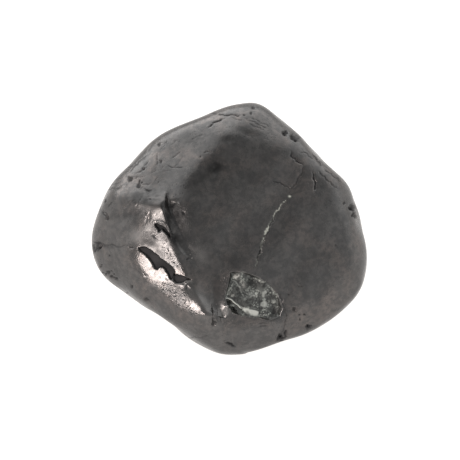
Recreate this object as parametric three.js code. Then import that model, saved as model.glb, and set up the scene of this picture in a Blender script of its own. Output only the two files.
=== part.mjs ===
// A tumbled shungite pebble: one solid stone with broad worn facets, a raised lobe along its left
// side, a fractured chip low on its face, and the cracks and pits that tumbling left open.

import * as THREE from 'three';
import { mergeVertices } from 'three/addons/utils/BufferGeometryUtils.js';

// Lengths are in millimetres and angles in degrees. The stone is described from its broad face:
// u runs to the right, v up the face and w out of it, all from a point inside the stone. A facet is
// a plane. "around" turns its outward direction in the face, from u towards v. "lean" tips that
// direction away from w. "away" is how far the plane lies from the inner point.

const FACE_TILT = 60;        // angle between the ground and the line out of the broad face
const BASE_HEIGHT = 11.2;    // height of the inner point above the flat that the stone rests on

const MAIN_FACETS = [
  { name: 'broad face', around: 20, lean: 5, away: 11.8 },
  { name: 'right face', around: -18, lean: 11, away: 12.8 },
  { name: 'top left shoulder', around: 135, lean: 36, away: 15.0 },
  { name: 'top cap', around: 88, lean: 46, away: 17.8 },
  { name: 'left shoulder', around: 208, lean: 62, away: 13.3 },
  { name: 'bottom slope', around: 270, lean: 45, away: 17.5 },
  { name: 'lower right slope', around: 306, lean: 42, away: 17.3 },
  { name: 'right rim', around: 6, lean: 62, away: 19.5 },
  { name: 'upper right rim', around: 46, lean: 66, away: 18.9 },
  { name: 'upper right band', around: 47, lean: 22, away: 15.24 },
  { name: 'lower right bevel', around: 308, lean: 24, away: 14.95 },
];

const LOBE_FACETS = [
  { name: 'polished strip', around: 205, lean: 24, away: 14.9 },
  { name: 'steep flank', around: 25, lean: 60, away: 0.4 },
  { name: 'lower flank', around: 0, lean: 62, away: 4.0 },
  { name: 'worn crest', around: 20.1, lean: 33, away: 6.55 },
  { name: 'lobe left', around: 190, lean: 48, away: 17.5 },
  { name: 'lobe upper left', around: 180, lean: 38, away: 17.3 },
  { name: 'lobe low', around: 224, lean: 47, away: 17.1 },
  { name: 'lobe top', around: 104, lean: 52, away: 12.8 },
  { name: 'bottom slope', around: 274, lean: 45, away: 17.38 },
];

const GIRTH_FACETS = [
  { name: 'upper right side', around: 47, lean: 95, away: 16.5 },
  { name: 'right side', around: 10, lean: 93, away: 18.9 },
  { name: 'right point', around: -35, lean: 90, away: 20.9 },
  { name: 'lower right side', around: -66, lean: 92, away: 18.1 },
  { name: 'bottom side', around: -98, lean: 88, away: 18.2 },
  { name: 'lower left side', around: -125, lean: 88, away: 16.3 },
  { name: 'left side', around: 189, lean: 90, away: 20.7 },
  { name: 'upper left point', around: 163, lean: 88, away: 19.9 },
  { name: 'upper left side', around: 140, lean: 92, away: 17.2 },
  { name: 'top left side', around: 111, lean: 94, away: 16.5 },
  { name: 'top side', around: 85, lean: 95, away: 20.0 },
  { name: 'underside', around: 270, lean: 150, away: 11.9 },
  { name: 'underside right', around: 318, lean: 140, away: 13.1 },
  { name: 'underside left', around: 222, lean: 146, away: 13.3 },
  { name: 'underside front', around: 283, lean: 124, away: 13.9 },
  { name: 'underside front left', around: 244, lean: 129, away: 14.0 },
  { name: 'underside back', around: 285, lean: 176, away: 12.6 },
  { name: 'back top', around: 80, lean: 140, away: 13.5 },
  { name: 'back left', around: 175, lean: 132, away: 17.0 },
  { name: 'back right', around: -5, lean: 130, away: 17.0 },
  { name: 'back', around: 60, lean: 172, away: 12.5 },
];

// How sharply facets meet: a larger number leaves a smaller radius on the edge between them.
const FACE_SHARPNESS = 16;
const LOBE_SHARPNESS = 50;
const GIRTH_SHARPNESS = 20;
const VALLEY_SHARPNESS = 80;

// Slow swells that keep the facets from being true planes: [u, v, w] of each wave, and its height.
const SWELLS = [
  { wave: [0.42, 0.31, 0.17], shift: 0.6, high: 0.11 },
  { wave: [-0.36, 0.55, 0.28], shift: 2.1, high: 0.09 },
  { wave: [0.71, -0.48, 0.39], shift: 4.0, high: 0.06 },
  { wave: [0.25, 0.93, -0.61], shift: 1.3, high: 0.05 },
  { wave: [-1.13, 0.37, 0.74], shift: 3.2, high: 0.035 },
];

// The channel between the lobe and the rest of the face. At each point of its middle line: u, v,
// depth, half width of its floor, and widths of its left and right walls.
const CHANNEL = [
  [-9.6, 4.2, 0, 0.1, 0.4, 0.6], [-9.2, 3.3, 0.3, 0.1, 0.45, 3], [-8.7, 2, 0.4, 0.15, 0.45, 3.6],
  [-8.4, 0.6, 0.4, 0.15, 0.45, 3.6], [-7.6, -1.2, 0.34, 0.15, 0.5, 3.4],
  [-6.4, -2.8, 0.24, 0.15, 0.5, 3], [-5.2, -4.1, 0.16, 0.2, 0.5, 2.6],
  [-3.6, -5.7, 0.13, 0.5, 0.5, 2.2], [-2.3, -7, 0.13, 0.6, 0.4, 1.8],
  [-1.9, -8.3, 0.13, 0.6, 0.3, 1.6], [-1.9, -9.8, 0.14, 0.5, 0.25, 1.4],
  [-2, -11.4, 0.24, 0.3, 0.25, 1], [-2.3, -13.1, 0.22, 0.15, 0.3, 0.45],
  [-2.5, -14.8, 0, 0.1, 0.3, 0.3],
];

// The worn edge of the lobe above the channel, as [u, v, depth] points.
const CREST_WEAR = {
  halfWidth: 1.35,
  path: [[-8.4, -0.1, 0.1], [-7.4, -2.5, 0.3], [-6.7, -4.1, 0.3], [-6, -5.5, 0.3], [-5.5, -7, 0.3],
    [-5.1, -8.1, 0.1]],
};

// Cracks follow [u, v, depth] points over the face.
const CRACKS = [
  { name: 'long crack', halfWidth: 0.3,
    path: [[10.5, 9.5, 0], [9.0, 5.8, 0.12], [7.3, 3.2, 0.1], [5.2, 0.0, 0.14], [4.3, -3.3, 0.12],
      [3.6, -5.6, 0]] },
  { name: 'short crack', halfWidth: 0.3,
    path: [[12.0, 8.8, 0], [12.3, 7.2, 0.2], [12.4, 5.6, 0]] },
  { name: 'crack to the left rim', halfWidth: 0.3,
    path: [[-20.0, -1.7, 0.15], [-17.0, -2.2, 0.12], [-14.8, -2.3, 0.1]] },
  { name: 'crack on the bottom slope', halfWidth: 0.4,
    path: [[-0.9, -16.0, 0], [0.0, -16.6, 0.25], [0.8, -17.1, 0]] },
  { name: 'crack on the top cap', halfWidth: 0.4,
    path: [[-3.3, 14.7, 0], [-2.2, 15.4, 0.15], [-0.9, 16.0, 0]] },
];

// Recesses are sharp-edged openings: outline [u, v] points, depth, and width of the sloping edge.
const RECESSES = [
  { name: 'fissure', deep: 0.34, edge: 0.3,
    outline: [[-13.3, -2.4], [-11.9, -2.4], [-10.8, -3.2], [-9.9, -4.1], [-8.8, -5], [-8.2, -5.6],
      [-8, -6.1], [-7.1, -6.6], [-5.5, -7.2], [-5.8, -7.4], [-7.1, -7.7], [-7.9, -7.8], [-8.3, -7.4],
      [-8.9, -7], [-9.2, -6.3], [-9.8, -5.5], [-10.1, -5.4], [-10.5, -5.8], [-10.9, -5.7],
      [-11.2, -4.8], [-11.8, -4], [-12.7, -3.3]] },
  { name: 'arched notch', deep: 0.38, edge: 0.3,
    outline: [[-11.1, 0.9], [-10.6, 1], [-10, 0.7], [-9.2, 0.2], [-8.6, -0.7], [-8.5, -1.4],
      [-9.4, -0.5], [-9.9, -0], [-10.1, -0.4], [-10.4, -0.4], [-10.5, 0.1], [-10.9, 0.4]] },
];

// The chip low on the face: a fresh break whose floor is a patchwork of small flat faces.
const CHIP = {
  deep: 0.4,
  edge: 0.6,
  outline: [[-0.1, -6], [1.8, -5.8], [4.1, -6.6], [5.6, -7.5], [7.1, -9.3], [7.6, -11.3], [7.3, -12.5],
    [5.8, -13.3], [4.1, -12.9], [1.8, -12.7], [0.3, -12.1], [-0.5, -10.8], [-0.8, -9.6], [-0.6, -8.6],
    [-0.2, -7.3]],
};
const CHIP_FACES = { count: 26, slope: 0.4, rough: 0.7, seed: 7 };

// The top of the steep flank, [u, v] points: the form turns most sharply beside it.
const LOBE_CREST = [[-9.8, 3.4], [-7, -3.5], [-3.5, -12.1], [-2.4, -14.5]];

// Dents and pits on the face: centre, half width, half length, turn of the long way, and depth;
// a swelling has less than no depth.
const DENTS = [
  { name: 'worn hollow', u: -2.2, v: 9.2, wide: 1.9, long: 1.3, turn: 35, deep: 0.34 },
  { name: 'tail of the worn hollow', u: -4.5, v: 7.0, wide: 2.6, long: 1.0, turn: 38, deep: 0.14 },
  { name: 'small hollow', u: -0.2, v: 13.0, wide: 1.1, long: 0.5, turn: 0, deep: 0.14 },
  { name: 'hollow below the cap', u: 2.8, v: 13.9, wide: 1.5, long: 0.6, turn: -15, deep: 0.1 },
  { name: 'valley above the lobe', u: -14.8, v: 2.2, wide: 3.2, long: 1.0, turn: 20, deep: 0.1 },
  { name: 'dimple on the flank', u: -6.3, v: -2.6, wide: 0.8, long: 0.5, turn: -30, deep: 0.15 },
  { name: 'scoop of the flank', u: -4.6, v: -9.0, wide: 2.6, long: 1.5, turn: -45, deep: 0.44 },
  { name: 'toe of the lobe', u: -3.2, v: -12.1, wide: 1.3, long: 0.6, turn: 0, deep: -0.24 },
  { name: 'right rim pit', u: 17.9, v: 3.2, wide: 0.7, long: 1.0, turn: 20, deep: 0.5 },
  { name: 'right rim pinhole', u: 16.7, v: 3.9, wide: 0.35, long: 0.35, turn: 0, deep: 0.25 },
  { name: 'upper rim pit', u: 9.2, v: 13.2, wide: 1.1, long: 0.5, turn: -35, deep: 0.4 },
  { name: 'upper rim pinhole', u: 8.0, v: 14.1, wide: 0.5, long: 0.5, turn: 0, deep: 0.3 },
  { name: 'left rim pit', u: -19.3, v: -2.2, wide: 0.8, long: 0.7, turn: 0, deep: 0.3 },
  { name: 'bottom rim pits', u: 7.5, v: -15.5, wide: 1.2, long: 0.5, turn: 42, deep: 0.35 },
  { name: 'lower right pit', u: 11.3, v: -14.0, wide: 0.5, long: 0.4, turn: 0, deep: 0.3 },
  { name: 'shoulder pit', u: -14.3, v: 7.3, wide: 0.6, long: 0.35, turn: 35, deep: 0.2 },
  { name: 'shoulder chip', u: -11.6, v: 6.2, wide: 0.8, long: 0.3, turn: -5, deep: 0.2 },
  { name: 'shoulder nick', u: -9.7, v: 9.9, wide: 0.35, long: 0.35, turn: 0, deep: 0.2 },
  { name: 'left shoulder pits', u: -17.9, v: 3.9, wide: 0.8, long: 0.35, turn: 30, deep: 0.25 },
  { name: 'lobe pit', u: -14.7, v: -8.8, wide: 0.4, long: 0.7, turn: 30, deep: 0.2 },
  { name: 'low lobe pit', u: -12.1, v: -10.0, wide: 0.35, long: 0.35, turn: 0, deep: 0.2 },
];

// Hollows and pits of the sides and the back, by the direction in which they lie.
const HOLLOWS = [
  { name: 'back hollow', around: 150, lean: 150, wide: 3.2, deep: 0.4 },
  { name: 'back right hollow', around: 20, lean: 135, wide: 2.6, deep: 0.35 },
  { name: 'top side hollow', around: 100, lean: 112, wide: 2.0, deep: 0.3 },
  { name: 'left side hollow', around: 200, lean: 118, wide: 2.2, deep: 0.3 },
  { name: 'right side hollow', around: -25, lean: 112, wide: 1.8, deep: 0.3 },
  { name: 'bottom side hollow', around: 300, lean: 112, wide: 1.5, deep: 0.25 },
];
const BACK_PITS = { count: 14, lean: [95, 175], wide: [0.35, 0.75], deep: [0.15, 0.35], seed: 41 };
const FLAT_CLEARANCE = 35;   // angle that the seeded pits keep from the middle of the resting flat
const FLAT_BLEND = 0.8;      // height over which the detail fades out towards the resting flat

// Mesh: edge lengths beside a feature and away from any, and how fast one grows into the other.
const FINE_EDGE = 0.68;
const COARSE_EDGE = 2.4;
const EDGE_GROWTH = 0.9;
const START_DETAIL = 10;
const REFINE_ROUNDS = 7;

const radians = THREE.MathUtils.degToRad;
const UP_THE_FACE = new THREE.Vector3(0, 1, 0);
const OUT_OF_FACE = new THREE.Vector3(0, 0, 1);

/** Unit vector that lies "around" in the face and leans away from the line out of it. */
function direction(around, lean) {
  return new THREE.Vector3(
    Math.sin(radians(lean)) * Math.cos(radians(around)),
    Math.sin(radians(lean)) * Math.sin(radians(around)),
    Math.cos(radians(lean)),
  );
}

const DOWN = direction(270, 180 - (90 - FACE_TILT));

/** Evenly spread numbers from 0 to 1, the same ones each time for one seed. */
function numberStream(seed) {
  const modulus = 2147483647;
  const multiplier = 48271;
  let state = seed;
  return () => {
    state = (state * multiplier) % modulus;
    return state / modulus;
  };
}

function smoothStep(value) {
  const t = THREE.MathUtils.clamp(value, 0, 1);
  return t * t * (3 - 2 * t);
}

function planesOf(facets) {
  return facets.map(({ around, lean, away }) => direction(around, lean).divideScalar(away));
}

const mainPlanes = planesOf(MAIN_FACETS);
const lobePlanes = planesOf(LOBE_FACETS);
const girthPlanes = planesOf(GIRTH_FACETS);

/** Sum of the planes' pull on a ray: its root is one over the distance to a rounded polyhedron. */
function facetSum(ray, planes, sharpness) {
  return planes.reduce((sum, plane) => sum + Math.max(0, plane.dot(ray)) ** sharpness, 0);
}

/** Distance along a ray to the plain form: the main body joined to the lobe, cut flat below. */
function formRadius(ray) {
  const girth = facetSum(ray, girthPlanes, GIRTH_SHARPNESS);
  const reach = (planes, sharpness) => {
    const front = facetSum(ray, planes, sharpness) ** (GIRTH_SHARPNESS / sharpness);
    return (front + girth) ** (-1 / GIRTH_SHARPNESS);
  };
  const main = reach(mainPlanes, FACE_SHARPNESS);
  const lobe = reach(lobePlanes, LOBE_SHARPNESS);
  const joined = (main ** VALLEY_SHARPNESS + lobe ** VALLEY_SHARPNESS) ** (1 / VALLEY_SHARPNESS);
  const towardsGround = ray.dot(DOWN);
  return towardsGround > 0 ? Math.min(joined, BASE_HEIGHT / towardsGround) : joined;
}

function formPoint(ray) {
  const unit = ray.clone().normalize();
  return unit.multiplyScalar(formRadius(unit));
}

/** Outward direction of the plain form where a ray leaves it. */
function formNormal(ray) {
  const step = 0.001;
  const helper = Math.abs(ray.z) < 0.9 ? OUT_OF_FACE : UP_THE_FACE;
  const first = new THREE.Vector3().crossVectors(helper, ray).normalize().multiplyScalar(step);
  const second = new THREE.Vector3().crossVectors(ray, first).normalize().multiplyScalar(step);
  const along = formPoint(ray.clone().add(first)).sub(formPoint(ray.clone().sub(first)));
  const across = formPoint(ray.clone().add(second)).sub(formPoint(ray.clone().sub(second)));
  return along.cross(across).normalize();
}

/** Nearest place on a path: distance, side (+1 on the left going along) and the rest written. */
function nearestOnPath(u, v, path) {
  let best = { distance: Infinity, side: 1, written: [] };
  for (let i = 0; i + 1 < path.length; i += 1) {
    const [u0, v0, ...from] = path[i];
    const [u1, v1, ...to] = path[i + 1];
    const length = Math.hypot(u1 - u0, v1 - v0);
    const alongU = (u1 - u0) / length;
    const alongV = (v1 - v0) / length;
    const run = THREE.MathUtils.clamp((u - u0) * alongU + (v - v0) * alongV, 0, length);
    const offU = u - u0 - run * alongU;
    const offV = v - v0 - run * alongV;
    const distance = Math.hypot(offU, offV);
    if (distance < best.distance) {
      const side = Math.sign(alongU * offV - alongV * offU) || 1;
      const written = from.map((value, column) => value + ((to[column] - value) * run) / length);
      best = { distance, side, written };
    }
  }
  return best;
}

function channelDepth(u, v) {
  const { distance, side, written } = nearestOnPath(u, v, CHANNEL);
  const [depth, floor, leftWall, rightWall] = written;
  return depth * smoothStep(1 - (distance - floor) / (side > 0 ? rightWall : leftWall));
}

function crackDepth(u, v, { path, halfWidth }) {
  const { distance, written: [depth] } = nearestOnPath(u, v, path);
  return depth * smoothStep(1 - distance / halfWidth);
}

function isInside(u, v, outline) {
  let inside = false;
  outline.forEach(([u0, v0], i) => {
    const [u1, v1] = outline[(i + 1) % outline.length];
    const crosses = (v0 > v) !== (v1 > v);
    if (crosses && u < u0 + ((v - v0) * (u1 - u0)) / (v1 - v0)) {
      inside = !inside;
    }
  });
  return inside;
}

/** Distance to an outline's edge: positive inside it, negative outside. */
function depthInside(u, v, outline) {
  const { distance } = nearestOnPath(u, v, [...outline, outline[0]]);
  return isInside(u, v, outline) ? distance : -distance;
}

function recessDepth(u, v, { outline, deep, edge }) {
  return deep * smoothStep(depthInside(u, v, outline) / edge);
}

function dentDistance(u, v, { u: centreU, v: centreV, wide, long, turn }) {
  const cos = Math.cos(radians(turn));
  const sin = Math.sin(radians(turn));
  const across = ((u - centreU) * cos + (v - centreV) * sin) / wide;
  const along = ((v - centreV) * cos - (u - centreU) * sin) / long;
  return Math.hypot(across, along);
}

function dentDepth(u, v, dent) {
  return dent.deep * Math.exp(-(dentDistance(u, v, dent) ** 2));
}

/** Small tilted planes over the chip: the highest of one set less the highest of another. */
function makeChipFloor() {
  const next = numberStream(CHIP_FACES.seed);
  const [us, vs] = [0, 1].map((axis) => CHIP.outline.map((corner) => corner[axis]));
  const [lowU, highU] = [Math.min(...us), Math.max(...us)];
  const [lowV, highV] = [Math.min(...vs), Math.max(...vs)];
  const faces = Array.from({ length: CHIP_FACES.count }, () => ({
    u: lowU + (highU - lowU) * next(),
    v: lowV + (highV - lowV) * next(),
    slopeU: CHIP_FACES.slope * (2 * next() - 1),
    slopeV: CHIP_FACES.slope * (2 * next() - 1),
  }));
  const half = CHIP_FACES.count / 2;
  const heightOn = (u, v, face) => {
    const [du, dv] = [u - face.u, v - face.v];
    return du * face.slopeU + dv * face.slopeV - Math.hypot(du, dv) * CHIP_FACES.slope;
  };
  const highest = (u, v, set) => Math.max(...set.map((face) => heightOn(u, v, face)));
  return (u, v) => highest(u, v, faces.slice(0, half)) - highest(u, v, faces.slice(half));
}

const chipFloor = makeChipFloor();

function chipDepth(u, v) {
  const inside = smoothStep(depthInside(u, v, CHIP.outline) / CHIP.edge);
  return inside > 0 ? inside * (CHIP.deep + CHIP_FACES.rough * chipFloor(u, v)) : 0;
}

/** Hollows of the sides and back, with seeded pits that keep off the face and the resting flat. */
function makeHollows() {
  const placed = HOLLOWS.map(({ around, lean, wide, deep }) => ({
    centre: formPoint(direction(around, lean)), wide, deep,
  }));
  const next = numberStream(BACK_PITS.seed);
  const between = ([low, high]) => low + (high - low) * next();
  while (placed.length < HOLLOWS.length + BACK_PITS.count) {
    const ray = direction(360 * next(), between(BACK_PITS.lean));
    const wide = between(BACK_PITS.wide);
    const deep = between(BACK_PITS.deep);
    if (ray.angleTo(DOWN) > radians(FLAT_CLEARANCE)) {
      placed.push({ centre: formPoint(ray), wide, deep });
    }
  }
  return placed;
}

const hollows = makeHollows();

/** How much of the face's own detail applies: all of it in front, none well behind the rim. */
function faceShare(normal) {
  const [none, all] = [-0.1, 0.2];
  return smoothStep((normal.z - none) / (all - none));
}

function swell(point) {
  return SWELLS.reduce((sum, { wave, shift, high }) => {
    const phase = wave[0] * point.x + wave[1] * point.y + wave[2] * point.z + shift;
    return sum + high * Math.sin(phase);
  }, 0);
}

/** Signed height of all the detail over the plain form. */
function relief(point, normal) {
  const { x: u, y: v } = point;
  const share = faceShare(normal);
  let height = swell(point);
  if (share > 0) {
    const cracks = CRACKS.map((crack) => crackDepth(u, v, crack));
    const recesses = RECESSES.map((recess) => recessDepth(u, v, recess));
    const dents = DENTS.map((dent) => dentDepth(u, v, dent));
    const sunk = [...cracks, ...recesses, ...dents].reduce((sum, depth) => sum + depth, 0);
    const worn = crackDepth(u, v, CREST_WEAR);
    height -= share * (sunk + worn + channelDepth(u, v) + chipDepth(u, v));
  }
  hollows.forEach(({ centre, wide, deep }) => {
    height -= deep * Math.exp(-((point.distanceTo(centre) / wide) ** 2));
  });
  return height;
}

/** Point of the finished stone along a ray. */
function stonePoint(ray) {
  const point = formPoint(ray);
  const normal = formNormal(ray);
  const aboveGround = BASE_HEIGHT - point.dot(DOWN);
  const height = relief(point, normal) * smoothStep(aboveGround / FLAT_BLEND);
  return point.addScaledVector(normal, height);
}

/** Wanted edge length at a point: short beside any feature and growing away from it. */
function wantedEdge(point) {
  const { x: u, y: v, z: w } = point;
  let clear = Infinity;
  if (w > 0) {
    clear = nearestOnPath(u, v, LOBE_CREST).distance;
    [CHANNEL, ...CRACKS.map(({ path }) => path)].forEach((path) => {
      clear = Math.min(clear, nearestOnPath(u, v, path).distance);
    });
    [...RECESSES, CHIP].forEach(({ outline }) => {
      clear = Math.min(clear, Math.max(0, -depthInside(u, v, outline)));
    });
    DENTS.forEach((dent) => {
      const size = Math.min(dent.wide, dent.long);
      clear = Math.min(clear, Math.max(0, dentDistance(u, v, dent) - 1) * size);
    });
  }
  hollows.forEach(({ centre, wide }) => {
    clear = Math.min(clear, Math.max(0, point.distanceTo(centre) - wide) + wide / 2);
  });
  return Math.min(COARSE_EDGE, FINE_EDGE + EDGE_GROWTH * clear);
}

/** Splits every edge that is too long, a triangle's longest one first, until none is left. */
function refine(rays, triangles) {
  const points = rays.map(stonePoint);
  const edgeLength = (a, b) => points[a].distanceTo(points[b]);
  const edgeKey = (a, b) => (a < b ? `${a} ${b}` : `${b} ${a}`);
  const longestFirst = ([a, b, c]) => {
    const turns = [[a, b, c], [b, c, a], [c, a, b]];
    const lengths = turns.map(([start, end]) => edgeLength(start, end));
    return turns[lengths.indexOf(Math.max(...lengths))];
  };
  let current = triangles;
  for (let round = 0; round < REFINE_ROUNDS; round += 1) {
    const middles = new Map();
    const addMiddle = (a, b) => {
      if (!middles.has(edgeKey(a, b))) {
        middles.set(edgeKey(a, b), rays.length);
        rays.push(rays[a].clone().add(rays[b]).normalize());
        points.push(stonePoint(rays.at(-1)));
      }
    };
    current = current.map(longestFirst);
    current.forEach(([a, b]) => {
      const middle = points[a].clone().add(points[b]).divideScalar(2);
      if (edgeLength(a, b) > wantedEdge(middle)) {
        addMiddle(a, b);
      }
    });
    let settled = false;
    while (!settled) {
      const before = middles.size;
      current.forEach(([a, b, c]) => {
        if (middles.has(edgeKey(b, c)) || middles.has(edgeKey(c, a))) {
          addMiddle(a, b);
        }
      });
      settled = middles.size === before;
    }
    const halve = ([a, b, c]) => {
      const middle = middles.get(edgeKey(a, b));
      return middle === undefined ? [[a, b, c]] : [[c, a, middle], [b, c, middle]];
    };
    current = current.flatMap(halve).flatMap(halve);
  }
  return { points, triangles: current };
}

function makeStoneGeometry() {
  const ball = new THREE.IcosahedronGeometry(1, START_DETAIL);
  ball.deleteAttribute('normal');
  ball.deleteAttribute('uv');
  const { attributes: { position }, index } = mergeVertices(ball);
  const rays = Array.from({ length: position.count }, (_, i) => (
    new THREE.Vector3().fromBufferAttribute(position, i).normalize()
  ));
  const starts = Array.from({ length: index.count / 3 }, (_, i) => (
    [index.getX(3 * i), index.getX(3 * i + 1), index.getX(3 * i + 2)]
  ));
  const { points, triangles } = refine(rays, starts);
  const geometry = new THREE.BufferGeometry().setFromPoints(points);
  geometry.setIndex(triangles.flat());
  geometry.computeVertexNormals();
  return geometry;
}

function makeStone() {
  const polish = new THREE.MeshStandardMaterial({ color: 0x3f3c3a, roughness: 0.35, metalness: 0.4 });
  const stone = new THREE.Mesh(makeStoneGeometry(), polish);
  stone.name = 'stone';
  stone.rotation.x = radians(90 - FACE_TILT);
  return stone;
}

/** Sets the stone on the ground, with the origin under the middle of its box. */
function standOnGround(stone) {
  const box = new THREE.Box3().setFromObject(stone, true);
  const middle = box.getCenter(new THREE.Vector3());
  stone.position.set(-middle.x, -middle.y, BASE_HEIGHT);
}

const pebble = new THREE.Group();
const stone = makeStone();
standOnGround(stone);
pebble.add(stone);

export default pebble;
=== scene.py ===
"""A tumbled shungite stone: fine surface, semi-metallic finish, light tent and camera."""
import math

import bmesh
import bpy
import numpy as np
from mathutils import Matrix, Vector


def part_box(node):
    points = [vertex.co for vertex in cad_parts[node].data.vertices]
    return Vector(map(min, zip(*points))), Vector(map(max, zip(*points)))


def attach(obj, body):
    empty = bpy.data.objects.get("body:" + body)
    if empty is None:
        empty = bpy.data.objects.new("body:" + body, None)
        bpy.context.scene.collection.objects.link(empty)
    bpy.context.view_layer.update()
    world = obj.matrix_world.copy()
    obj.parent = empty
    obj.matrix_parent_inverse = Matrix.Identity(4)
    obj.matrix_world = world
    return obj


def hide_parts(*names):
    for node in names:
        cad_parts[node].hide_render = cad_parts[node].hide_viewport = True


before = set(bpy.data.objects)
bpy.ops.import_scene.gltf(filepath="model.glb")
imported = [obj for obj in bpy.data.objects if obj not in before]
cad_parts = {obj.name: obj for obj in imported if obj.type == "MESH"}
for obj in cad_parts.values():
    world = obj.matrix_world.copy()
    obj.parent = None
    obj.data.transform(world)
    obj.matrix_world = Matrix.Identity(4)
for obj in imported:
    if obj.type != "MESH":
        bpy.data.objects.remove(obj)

# The stone is described from its broad face, in millimetres: u to the right, v up the face and w
# out of it, all from a point inside the stone. A facet is a plane whose outward direction turns
# "around" in the face and leans away from w, both in degrees, at the distance given.

FACE_TILT = 60.0        # between the ground and the line out of the broad face
BASE_HEIGHT = 11.2      # of the inner point above the flat that the stone rests on

# (around, lean, distance)
MAIN_FACETS = [
    (20, 5, 11.8),      # broad face
    (-18, 11, 12.8),    # right face
    (135, 36, 15),      # top left shoulder
    (88, 46, 17.8),     # top cap
    (208, 62, 13.3),    # left shoulder
    (270, 45, 17.5),    # bottom slope
    (306, 42, 17.3),    # lower right slope
    (6, 62, 19.5),      # right rim
    (46, 66, 18.9),     # upper right rim
    (47, 22, 15.24),    # upper right band
    (308, 24, 14.95),   # lower right bevel
]
LOBE_FACETS = [
    (205, 24, 14.9),    # polished strip
    (25, 60, 0.4),      # steep flank
    (0, 62, 4),         # lower flank
    (20.1, 33, 6.55),   # worn crest
    (190, 48, 17.5),    # lobe left
    (180, 38, 17.3),    # lobe upper left
    (224, 47, 17.1),    # lobe low
    (104, 52, 12.8),    # lobe top
    (274, 45, 17.38),   # bottom slope
]
GIRTH_FACETS = [
    # sides, from the upper right round by the bottom to the top
    (47, 95, 16.5), (10, 93, 18.9), (-35, 90, 20.9), (-66, 92, 18.1), (-98, 88, 18.2), (-125, 88, 16.3),
    (189, 90, 20.7), (163, 88, 19.9), (140, 92, 17.2), (111, 94, 16.5), (85, 95, 20),
    # underside
    (270, 150, 11.9), (318, 140, 13.1), (222, 146, 13.3), (283, 124, 13.9), (244, 129, 14),
    (285, 176, 12.6),
    # back
    (80, 140, 13.5), (175, 132, 17), (-5, 130, 17), (60, 172, 12.5),
]

# How sharply facets meet: a larger number leaves a smaller radius on the edge between them.
FACE_SHARPNESS = 16
LOBE_SHARPNESS = 50
GIRTH_SHARPNESS = 20
VALLEY_SHARPNESS = 80

# Slow swells that keep the facets from being true planes: wave along u, v and w, shift, height.
SWELLS = [
    ((0.42, 0.31, 0.17), 0.6, 0.11),
    ((-0.36, 0.55, 0.28), 2.1, 0.09),
    ((0.71, -0.48, 0.39), 4, 0.06),
    ((0.25, 0.93, -0.61), 1.3, 0.05),
    ((-1.13, 0.37, 0.74), 3.2, 0.035),
]

# The worn edge of the lobe above the channel: half width, depth and (u, v) path.
CREST_WEAR = (1.1, 0.28, [(-8.44, -0.15), (-8, -1.02), (-7.42, -2.47), (-6.69, -4.07), (-6.04, -5.53),
    (-5.53, -6.98), (-5.09, -8.15)])

# The channel between the lobe and the rest: (u, v, depth, half width of its floor, widths of its
# left and right walls).
CHANNEL = [(-9.6, 4.22, 0, 0.1, 0.4, 0.6), (-9.17, 3.35, 0.3, 0.1, 0.45, 3),
    (-8.73, 2.04, 0.4, 0.15, 0.45, 3.6), (-8.37, 0.58, 0.4, 0.15, 0.45, 3.6),
    (-7.57, -1.16, 0.34, 0.15, 0.5, 3.4), (-6.4, -2.76, 0.24, 0.15, 0.5, 3),
    (-5.24, -4.07, 0.16, 0.2, 0.5, 2.6), (-3.64, -5.67, 0.13, 0.5, 0.5, 2.2),
    (-2.33, -6.98, 0.13, 0.6, 0.4, 1.8), (-1.89, -8.29, 0.13, 0.6, 0.3, 1.6),
    (-1.89, -9.75, 0.14, 0.5, 0.25, 1.4), (-2.04, -11.35, 0.24, 0.3, 0.25, 1),
    (-2.26, -13.09, 0.22, 0.15, 0.3, 0.45), (-2.47, -14.84, 0, 0.1, 0.3, 0.3)]
CHANNEL_REACH = 4       # beyond its widest wall

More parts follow.
